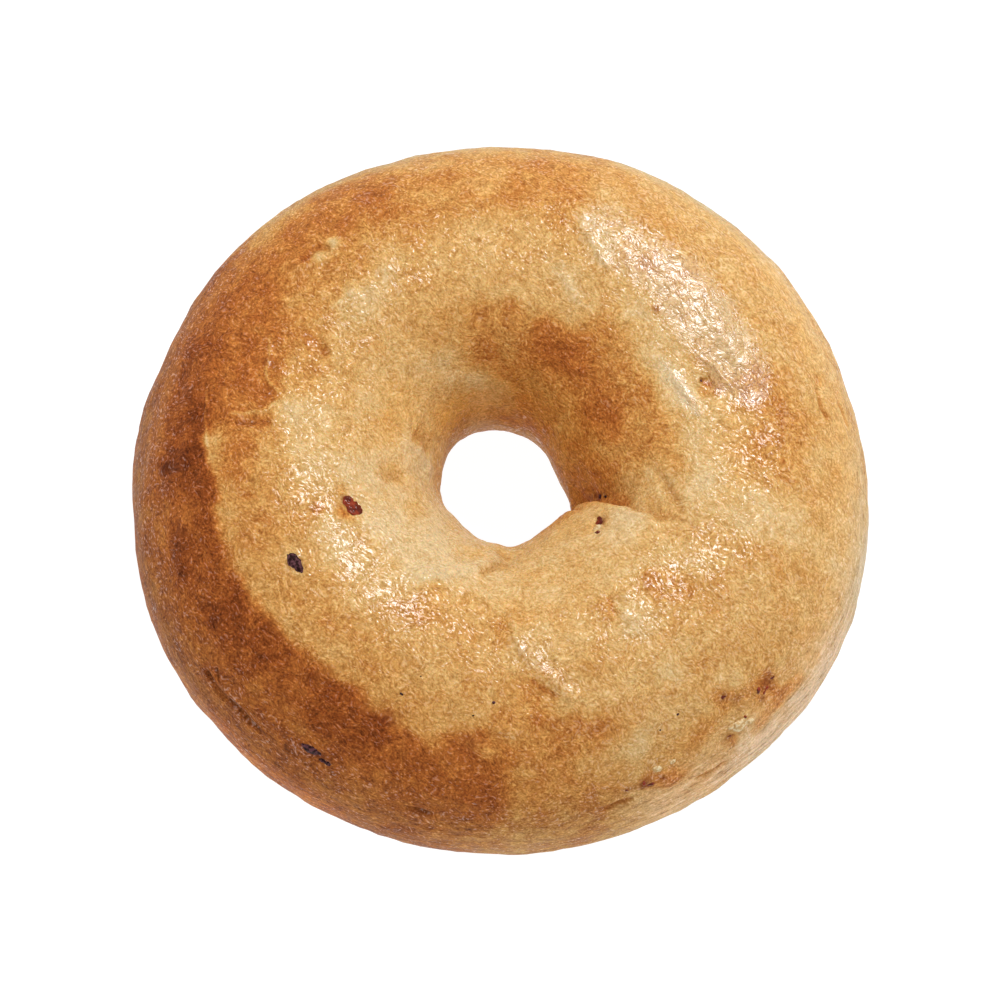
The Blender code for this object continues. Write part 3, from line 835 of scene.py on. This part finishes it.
# The fruit bits: small torn pieces of dried berry that were kneaded into the dough. They show dark red
# where the crust tore over them, and are sticky and shiny. Each is its length, width, height and rise
# above the crust in mm, its heading in degrees from +X as seen from above, and its place.
BERRY_BITS = (
    (2.0, 1.5, 1.0, 0.28, -20, (198, 114)), (3.2, 2.3, 1.4, 0.36, -40, (201, 116)),
    (2.0, 1.6, 0.9, 0.26, 80, (328, 135)), (1.4, 0.5, 0.5, 0.16, -15, (322, 131)),
    (1.4, 0.5, 0.5, 0.12, 70, (319, 31)), (1.0, 0.4, 0.5, 0.10, 20, (321, 33)),
    (1.0, 0.5, 0.5, 0.10, -60, (318, 34)),
    (1.3, 0.5, 0.5, 0.14, 20, (295, 24)), (0.9, 0.4, 0.4, 0.12, -70, (294, 26)),
    (0.9, 0.5, 0.4, 0.1, 30, (312, 43)),
    (0.7, 0.4, 0.4, 0.08, -40, (314, 29)), (0.9, 0.5, 0.4, 0.08, 0, (310, 25)),
    (0.8, 0.4, 0.3, 0.1, 10, (291, 27)),
)


# A pebble is a millimetre across, so that the scale of a copy is its size in mm
PEBBLE_RADIUS = 0.5 * MM
TEAR_WIDTH = 0.7 * MM


def scattered(name, bits, roughening):
    """One piece of all the bits of a kind, each an uneven pebble pressed into the crust at its place. The
    pebble is modelled once, and each bit is a copy of it with its own mesh, size and heading."""
    bpy.ops.object.select_all(action="DESELECT")
    bpy.ops.mesh.primitive_ico_sphere_add(subdivisions=4, radius=PEBBLE_RADIUS)
    pebble = bpy.context.object
    copies = []
    for length, width, height, rise, heading, place in bits:
        nearest = int(np.argmin(from_line(spots, (place,))[0]))
        point = crust.data.vertices[nearest]
        up = point.normal
        way = Vector((math.cos(math.radians(heading)), math.sin(math.radians(heading)), 0))
        way = (way - up * way.dot(up)).normalized()
        stand = Matrix((way, up.cross(way), up)).transposed()
        middle = point.co + up * (rise - height / 2) * MM
        bit = pebble.copy()
        bit.data = pebble.data.copy()
        bit.matrix_world = Matrix.LocRotScale(middle, stand, Vector((length, width, height)))
        bpy.context.scene.collection.objects.link(bit)
        copies.append(bit)
    bpy.data.objects.remove(pebble)
    bpy.ops.object.select_all(action="DESELECT")
    for bit in copies:
        bit.select_set(True)
    piece = copies[-1]
    bpy.context.view_layer.objects.active = piece
    bpy.ops.object.join()
    piece.name = name
    bpy.ops.object.transform_apply(location=True, rotation=True, scale=True)
    torn = bpy.data.textures.new(name, "CLOUDS")
    torn.noise_scale = TEAR_WIDTH
    torn.noise_depth = 1
    tearing = piece.modifiers.new("torn", "DISPLACE")
    tearing.texture = torn
    tearing.texture_coords = "LOCAL"
    tearing.strength = roughening * MM
    bpy.ops.object.modifier_apply(modifier=tearing.name)
    piece.data.shade_smooth()
    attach(piece, "root")
    return piece


# What the skins of all the bits share: two colours in small marks, which are a relief too. Where the marks
# are below the first level they are all dark, and above the second all light.
DARK_BELOW = 0.42
LIGHT_ABOVE = 0.62
MARK_HEIGHT = 0.12 * MM
mottle = bpy.data.node_groups.new("mottled_skin", "ShaderNodeTree")
for socket, kind in (("Place", "Vector"), ("Repeats", "Float"), ("Dark", "Color"), ("Light", "Color")):
    mottle.interface.new_socket(socket, in_out="INPUT", socket_type="NodeSocket" + kind)
for socket, kind in (("Colour", "Color"), ("Marks", "Float")):
    mottle.interface.new_socket(socket, in_out="OUTPUT", socket_type="NodeSocket" + kind)
given = mottle.nodes.new("NodeGroupInput").outputs
wanted = mottle.nodes.new("NodeGroupOutput").inputs
marks = cloud(mottle, given["Place"], given["Repeats"], detail=2, rough=0.6)[0]
share = ranged(mottle, marks, DARK_BELOW, LIGHT_ABOVE)
feed(mottle, wanted["Colour"], blend(mottle, share, given["Dark"], given["Light"]))
feed(mottle, wanted["Marks"], marks)


def skin_of(name, dark, light, roughness, repeats, coat=0.0):
    """The skin of one kind of bit, mottled between two colours, with marks as small as the repeats give."""
    made = bpy.data.materials.new(name)
    made.use_nodes = True
    tree = made.node_tree
    skin = tree.nodes["Principled BSDF"]
    mottling = tree.nodes.new("ShaderNodeGroup")
    mottling.node_tree = mottle
    tree.links.new(tree.nodes.new("ShaderNodeTexCoord").outputs["Object"], mottling.inputs["Place"])
    mottling.inputs["Repeats"].default_value = repeats
    mottling.inputs["Dark"].default_value = dark
    mottling.inputs["Light"].default_value = light
    tree.links.new(mottling.outputs["Colour"], skin.inputs["Base Color"])
    skin.inputs["Roughness"].default_value = roughness
    skin.inputs["Coat Weight"].default_value = coat
    skin.inputs["Coat Roughness"].default_value = 0.12
    skin.inputs["Specular IOR Level"].default_value = 0.2
    skin.inputs["Specular Tint"].default_value = (1.0, 0.6, 0.4, 1)
    bump = tree.nodes.new("ShaderNodeBump")
    bump.inputs["Strength"].default_value = 1.0
    bump.inputs["Distance"].default_value = MARK_HEIGHT
    tree.links.new(mottling.outputs["Marks"], bump.inputs["Height"])
    tree.links.new(bump.outputs["Normal"], skin.inputs["Normal"])
    tree.links.new(bump.outputs["Normal"], skin.inputs["Coat Normal"])
    return made


BERRY_DARK = (0.10, 0.011, 0.005, 1)
BERRY_LIGHT = (0.27, 0.034, 0.011, 1)
berries = scattered("berry_bits", BERRY_BITS, roughening=0.55)
berries.data.materials.append(skin_of("dried_berry", BERRY_DARK, BERRY_LIGHT, 0.4, repeats=900, coat=0.25))

# The dark grains: black seeds with a purple shine that lie just under the skin. One is bared in the top,
# one lies in a slit of the wall, one in the pinch beside the hole, and the rest are specks.
DARK_GRAINS = (
    (3.8, 1.6, 1.2, 0.32, -52, (210, 84)), (3.6, 1.7, 1.0, 0.20, -34, (238, 32)),
    (2.2, 0.8, 0.7, 0.20, -34, (240, 29)),
    (0.7, 0.5, 0.3, 0.05, -70, (21, 91)), (1.3, 0.4, 0.5, 0.14, -45, (349, 155)),
    (1.3, 0.4, 0.5, 0.14, 45, (348, 154)), (0.8, 0.3, 0.4, 0.12, 0, (347, 150)),
    (0.3, 0.3, 0.3, 0.06, 0, (299, 48)), (0.3, 0.2, 0.2, 0.05, 40, (303, 50)),
    (0.3, 0.2, 0.2, 0.05, 0, (265, 70)),
    (0.3, 0.2, 0.2, 0.05, 10, (252, 80)), (0.3, 0.3, 0.2, 0.06, 0, (269, 76)),
    (0.4, 0.2, 0.2, 0.05, -45, (249, 71)),
)
HULL_DARK = (0.010, 0.002, 0.004, 1)
HULL_LIGHT = (0.12, 0.045, 0.055, 1)
grains = scattered("dark_grains", DARK_GRAINS, roughening=0.45)
grains.data.materials.append(skin_of("seed_hull", HULL_DARK, HULL_LIGHT, 0.6, repeats=2600))

# The bran flakes: pale scraps of hull and oat, dry and matt, that were kneaded into the dough. They stand
# out of the crust near the rim, and one lies over the fruit bit beside the hole.
BRAN_FLAKES = (
    (2.4, 1.9, 1.1, 0.50, 40, (312, 27)), (1.5, 0.9, 0.8, 0.35, -20, (314, 26)),
    (1.2, 0.9, 0.7, 0.35, 60, (311, 29)),
    (1.6, 1.0, 0.6, 0.22, -30, (297, 32)), (1.0, 0.6, 0.4, 0.18, 30, (299, 31)),
    (1.7, 1.0, 0.8, 0.34, -15, (325, 133)),
)
BRAN_DARK = (0.55, 0.33, 0.13, 1)
BRAN_LIGHT = (0.78, 0.62, 0.36, 1)
flakes = scattered("bran_flakes", BRAN_FLAKES, roughening=0.40)
flakes.data.materials.append(skin_of("dry_bran", BRAN_DARK, BRAN_LIGHT, 0.6, repeats=1800))

# The studio: a pale table top that runs out of sight, one soft window behind the bagel on the right, and
# even white light from all round. The camera looks down from the front at 73 degrees.
TABLE_WIDTH = 6.0
TABLE_TOP = -0.2 * MM
TABLE_GREY = (0.12, 0.12, 0.12, 1)
TABLE_LIGHT = 0.98
bpy.ops.object.select_all(action="DESELECT")
bpy.ops.mesh.primitive_plane_add(size=TABLE_WIDTH, location=(0, 0, TABLE_TOP))
table = bpy.context.object
table.name = "table_top"
bpy.ops.object.transform_apply(location=True, rotation=True, scale=True)
laminate = bpy.data.materials.new("white_laminate")
laminate.use_nodes = True
top = laminate.node_tree.nodes["Principled BSDF"]
top.inputs["Base Color"].default_value = TABLE_GREY
top.inputs["Roughness"].default_value = 0.7
top.inputs["Specular IOR Level"].default_value = 0.2
top.inputs["Emission Color"].default_value = (1, 1, 1, 1)
top.inputs["Emission Strength"].default_value = TABLE_LIGHT
table.data.materials.append(laminate)

WINDOW_WIDTH = 0.15
WINDOW_DISTANCE = 0.7
WINDOW_WATTS = 3.0
WINDOW_COLOUR = (0.95, 0.98, 1.05)
window = bpy.data.lights.new("window", "AREA")
window.shape = "SQUARE"
window.size = WINDOW_WIDTH
window.energy = WINDOW_WATTS
window.color = WINDOW_COLOUR
window_stand = bpy.data.objects.new("window", window)
bpy.context.scene.collection.objects.link(window_stand)
towards_window = Vector((0.25, 0.45, 0.86)).normalized()
window_stand.location = towards_window * WINDOW_DISTANCE
window_stand.rotation_euler = (-towards_window).to_track_quat("-Z", "Y").to_euler()

ROOM_LIGHT = 0.65
sky = bpy.data.worlds.new("white_studio")
bpy.context.scene.world = sky
sky.use_nodes = True
sky.node_tree.nodes["Background"].inputs["Color"].default_value = (1, 1, 1, 1)
sky.node_tree.nodes["Background"].inputs["Strength"].default_value = ROOM_LIGHT
bpy.context.scene.view_settings.view_transform = "Standard"

ELEVATION = math.radians(73)
CAMERA_DISTANCE = 0.6
LENS = 151.6
eye = Vector((0, -math.cos(ELEVATION), math.sin(ELEVATION))) * CAMERA_DISTANCE + Vector((0, 0, 20 * MM))
aim = Vector((0, -1.2 * MM, 19.6 * MM))
camera = bpy.data.cameras.new("camera")
camera.lens = LENS
camera.sensor_width = 36
camera_stand = bpy.data.objects.new("camera", camera)
bpy.context.scene.collection.objects.link(camera_stand)
camera_stand.location = eye
camera_stand.rotation_euler = (aim - eye).to_track_quat("-Z", "Y").to_euler()
bpy.context.scene.camera = camera_stand
